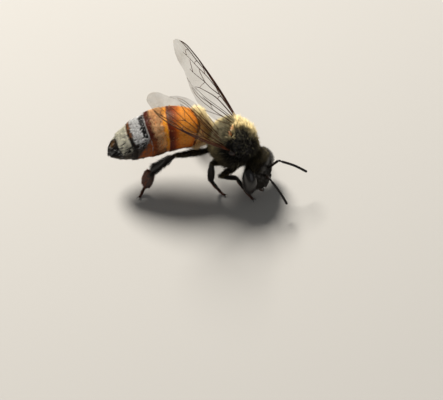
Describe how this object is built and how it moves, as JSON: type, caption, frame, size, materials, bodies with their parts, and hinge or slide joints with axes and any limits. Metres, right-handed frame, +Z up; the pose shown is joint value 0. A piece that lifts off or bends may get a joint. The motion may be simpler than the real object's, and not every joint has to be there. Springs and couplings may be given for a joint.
{
  "type": "honey bee",
  "caption": "Still, life-size honey bee worker standing with its head bowed, its abdomen bent to one side and its wings raised.",
  "frame": {"origin": "on the floor under the middle of the bee's box", "axes": "+X towards the head, +Y to the bee's left, +Z up"},
  "size_m": [0.0156, 0.01, 0.012],
  "materials": {
    "tan_coat": "dense pale yellow-brown branched hair over black cuticle",
    "black_cuticle": "finely pitted black chitin with a soft gloss and sparse pale hair",
    "amber_cuticle": "smooth translucent amber chitin with dark red-brown hind edges",
    "brown_cuticle": "red-brown chitin with short bristles",
    "compound_eye": "black faceted eye with a soft sheen",
    "wing_membrane": "clear smoky membrane with amber-brown veins"
  },
  "bodies": {
    "root": {"head": "black_cuticle", "eye_left": "compound_eye", "eye_right": "compound_eye", "scape_left": "black_cuticle", "flagellum_left": "black_cuticle", "scape_right": "black_cuticle", "flagellum_right": "black_cuticle", "mandible_left": "brown_cuticle", "mandible_right": "brown_cuticle", "proboscis": "brown_cuticle", "thorax": "tan_coat", "abdomen_1": "tan_coat", "abdomen_2": "amber_cuticle", "abdomen_3": "amber_cuticle", "abdomen_4": "black_cuticle", "abdomen_5": "black_cuticle", "abdomen_6": "black_cuticle", "forewing_left": "wing_membrane", "hindwing_left": "wing_membrane", "forewing_right": "wing_membrane", "hindwing_right": "wing_membrane", "coxa_fore_left": "black_cuticle", "femur_fore_left": "black_cuticle", "tibia_fore_left": "black_cuticle", "basitarsus_fore_left": "brown_cuticle", "tarsus_fore_left": "brown_cuticle", "coxa_fore_right": "black_cuticle", "femur_fore_right": "black_cuticle", "tibia_fore_right": "black_cuticle", "basitarsus_fore_right": "brown_cuticle", "tarsus_fore_right": "brown_cuticle", "coxa_mid_left": "black_cuticle", "femur_mid_left": "black_cuticle", "tibia_mid_left": "black_cuticle", "basitarsus_mid_left": "brown_cuticle", "tarsus_mid_left": "brown_cuticle", "coxa_mid_right": "black_cuticle", "femur_mid_right": "black_cuticle", "tibia_mid_right": "black_cuticle", "basitarsus_mid_right": "brown_cuticle", "tarsus_mid_right": "brown_cuticle", "coxa_hind_left": "black_cuticle", "femur_hind_left": "black_cuticle", "tibia_hind_left": "black_cuticle", "basitarsus_hind_left": "brown_cuticle", "tarsus_hind_left": "brown_cuticle", "coxa_hind_right": "black_cuticle", "femur_hind_right": "black_cuticle", "tibia_hind_right": "black_cuticle", "basitarsus_hind_right": "brown_cuticle", "tarsus_hind_right": "brown_cuticle"}
  },
  "joints": []
}
